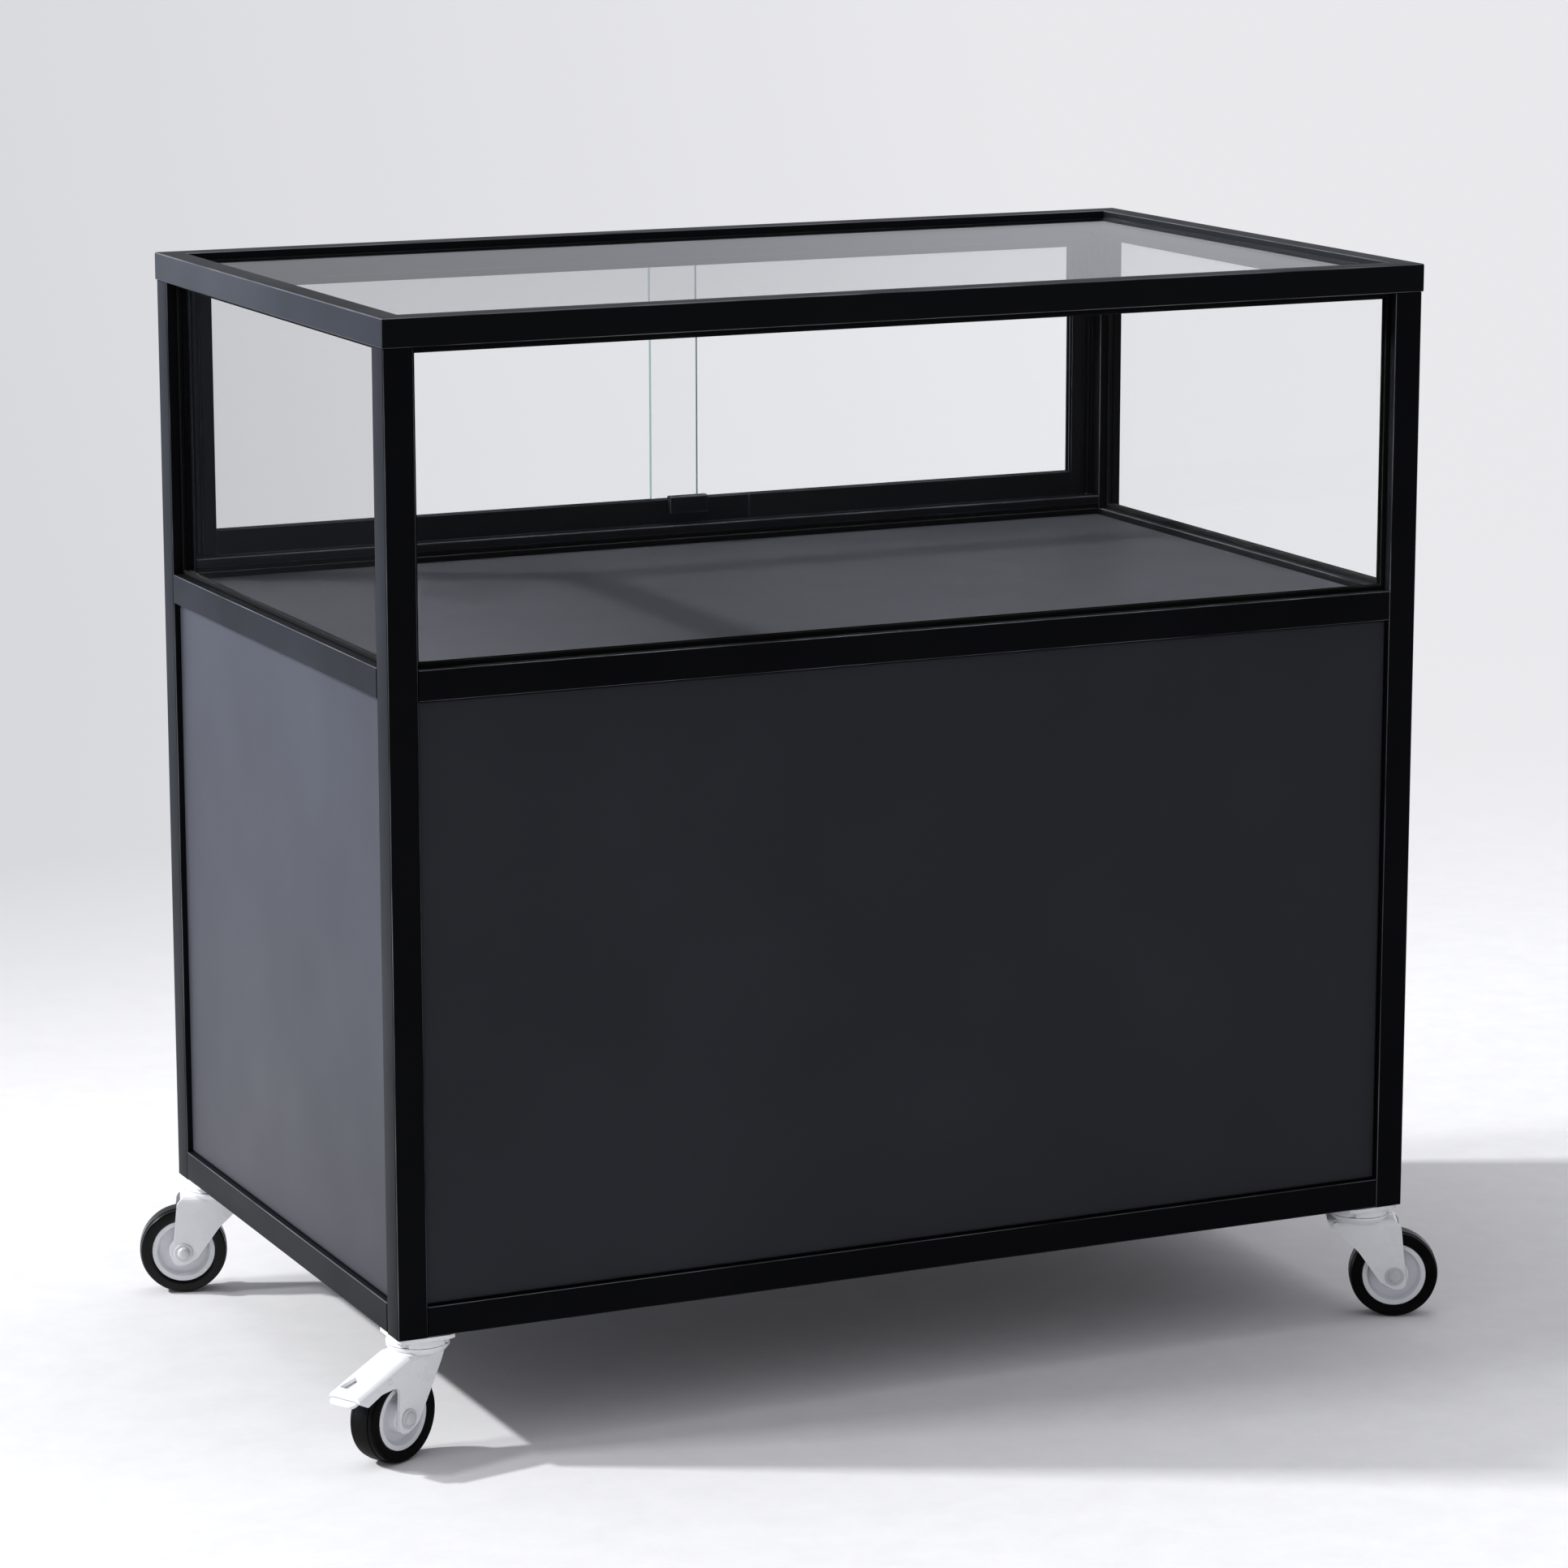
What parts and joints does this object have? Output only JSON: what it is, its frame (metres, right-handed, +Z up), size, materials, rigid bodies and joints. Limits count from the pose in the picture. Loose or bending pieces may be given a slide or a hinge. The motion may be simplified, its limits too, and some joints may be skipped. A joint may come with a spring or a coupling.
{
  "type": "glass display counter",
  "caption": "Rolling display counter with a glazed showcase over a closed cupboard, sliding rear doors and swivel castors.",
  "frame": {"origin": "on the floor under the middle of the cabinet", "axes": "+Z up, +X along the width to the right as the customer sees it, the glazed customer side faces -Y and the sliding doors are at +Y"},
  "size_m": [1.028, 0.5876, 0.9],
  "materials": {
    "black_powder_coat": "fine-textured satin black powder coat",
    "charcoal_panel": "matte charcoal powder coat",
    "grey_deck": "matte dark grey laminate",
    "base_board": "matte charcoal laminate",
    "cupboard_door": "matte charcoal",
    "clear_glass": "clear polished",
    "black_rubber": "matte",
    "black_anodised": "satin black anodised",
    "tyre": "satin black rubber",
    "wheel_rim": "pale grey moulded",
    "zinc_plate": "bright zinc",
    "white_painted_steel": "gloss white paint"
  },
  "bodies": {
    "cabinet": {"base_board": "base_board", "castor_front_left_plate": "white_painted_steel", "castor_front_right_plate": "white_painted_steel", "castor_rear_left_plate": "white_painted_steel", "castor_rear_right_plate": "white_painted_steel", "display_deck": "grey_deck", "front_bottom_rail": "black_powder_coat", "front_gasket": "black_rubber", "front_glass": "clear_glass", "front_left_post": "black_powder_coat", "front_mid_rail": "black_powder_coat", "front_panel": "charcoal_panel", "front_right_post": "black_powder_coat", "left_bottom_rail": "black_powder_coat", "left_gasket": "black_rubber", "left_glass": "clear_glass", "left_mid_rail": "black_powder_coat", "left_panel": "charcoal_panel", "left_track_jamb": "black_anodised", "lower_cupboard_track": "black_anodised", "lower_glass_track": "black_anodised", "rear_bottom_rail": "black_powder_coat", "rear_left_post": "black_powder_coat", "rear_mid_rail": "black_powder_coat", "rear_right_post": "black_powder_coat", "right_bottom_rail": "black_powder_coat", "right_gasket": "black_rubber", "right_glass": "clear_glass", "right_mid_rail": "black_powder_coat", "right_panel": "charcoal_panel", "right_track_jamb": "black_anodised", "top_frame": "black_powder_coat", "top_glass": "clear_glass", "top_glass_tape": "black_rubber", "upper_cupboard_track": "black_anodised", "upper_glass_track": "black_anodised"},
    "left_glass_door": {"glass_door_left": "clear_glass"},
    "right_glass_door": {"glass_door_right": "clear_glass", "door_catch": "black_anodised"},
    "left_cupboard_door": {"cupboard_door_left": "cupboard_door"},
    "right_cupboard_door": {"cupboard_door_right": "cupboard_door"},
    "front_left_fork": {"castor_front_left_fork": "white_painted_steel", "castor_front_left_axle": "zinc_plate"},
    "front_left_wheel": {"castor_front_left_rim": "wheel_rim", "castor_front_left_tyre": "tyre"},
    "front_left_pedal": {"castor_front_left_pedal": "white_painted_steel"},
    "front_right_fork": {"castor_front_right_fork": "white_painted_steel", "castor_front_right_axle": "zinc_plate"},
    "front_right_wheel": {"castor_front_right_rim": "wheel_rim", "castor_front_right_tyre": "tyre"},
    "rear_left_fork": {"castor_rear_left_fork": "white_painted_steel", "castor_rear_left_axle": "zinc_plate"},
    "rear_left_wheel": {"castor_rear_left_rim": "wheel_rim", "castor_rear_left_tyre": "tyre"},
    "rear_right_fork": {"castor_rear_right_fork": "white_painted_steel", "castor_rear_right_axle": "zinc_plate"},
    "rear_right_wheel": {"castor_rear_right_rim": "wheel_rim", "castor_rear_right_tyre": "tyre"},
    "rear_right_pedal": {"castor_rear_right_pedal": "white_painted_steel"}
  },
  "joints": [
    {"name": "left_glass_door_slide", "type": "slide", "parent": "cabinet", "child": "left_glass_door", "axis": [1, 0, 0], "range_m": [0, 0.377]},
    {"name": "right_glass_door_slide", "type": "slide", "parent": "cabinet", "child": "right_glass_door", "axis": [1, 0, 0], "range_m": [-0.406, 0]},
    {"name": "left_cupboard_door_slide", "type": "slide", "parent": "cabinet", "child": "left_cupboard_door", "axis": [1, 0, 0], "range_m": [0, 0.414]},
    {"name": "right_cupboard_door_slide", "type": "slide", "parent": "cabinet", "child": "right_cupboard_door", "axis": [1, 0, 0], "range_m": [-0.414, 0]},
    {"name": "front_left_swivel", "type": "hinge", "parent": "cabinet", "child": "front_left_fork", "pos_m": [-0.429, -0.2415, 0.09], "axis": [0, 0, 1], "continuous": true},
    {"name": "front_left_wheel_spin", "type": "hinge", "parent": "front_left_fork", "child": "front_left_wheel", "pos_m": [-0.45589, -0.25479, 0.0375], "axis": [0.4431, -0.8965, 0], "continuous": true},
    {"name": "front_left_brake", "type": "hinge", "parent": "front_left_fork", "child": "front_left_pedal", "pos_m": [-0.47382, -0.26365, 0.07231], "axis": [0.4431, -0.8965, 0], "range_deg": [0, 8]},
    {"name": "front_right_swivel", "type": "hinge", "parent": "cabinet", "child": "front_right_fork", "pos_m": [0.429, -0.2415, 0.09], "axis": [0, 0, 1], "continuous": true},
    {"name": "front_right_wheel_spin", "type": "hinge", "parent": "front_right_fork", "child": "front_right_wheel", "pos_m": [0.45589, -0.25479, 0.0375], "axis": [0.4431, 0.8965, 0], "continuous": true},
    {"name": "rear_left_swivel", "type": "hinge", "parent": "cabinet", "child": "rear_left_fork", "pos_m": [-0.429, 0.2415, 0.09], "axis": [0, 0, 1], "continuous": true},
    {"name": "rear_left_wheel_spin", "type": "hinge", "parent": "rear_left_fork", "child": "rear_left_wheel", "pos_m": [-0.45753, 0.25077, 0.0375], "axis": [-0.309, -0.9511, 0], "continuous": true},
    {"name": "rear_right_swivel", "type": "hinge", "parent": "cabinet", "child": "rear_right_fork", "pos_m": [0.429, 0.2415, 0.09], "axis": [0, 0, 1], "continuous": true},
    {"name": "rear_right_wheel_spin", "type": "hinge", "parent": "rear_right_fork", "child": "rear_right_wheel", "pos_m": [0.45589, 0.25479, 0.0375], "axis": [-0.4431, 0.8965, 0], "continuous": true},
    {"name": "rear_right_brake", "type": "hinge", "parent": "rear_right_fork", "child": "rear_right_pedal", "pos_m": [0.47382, 0.26365, 0.07231], "axis": [-0.4431, 0.8965, 0], "range_deg": [0, 8]}
  ]
}
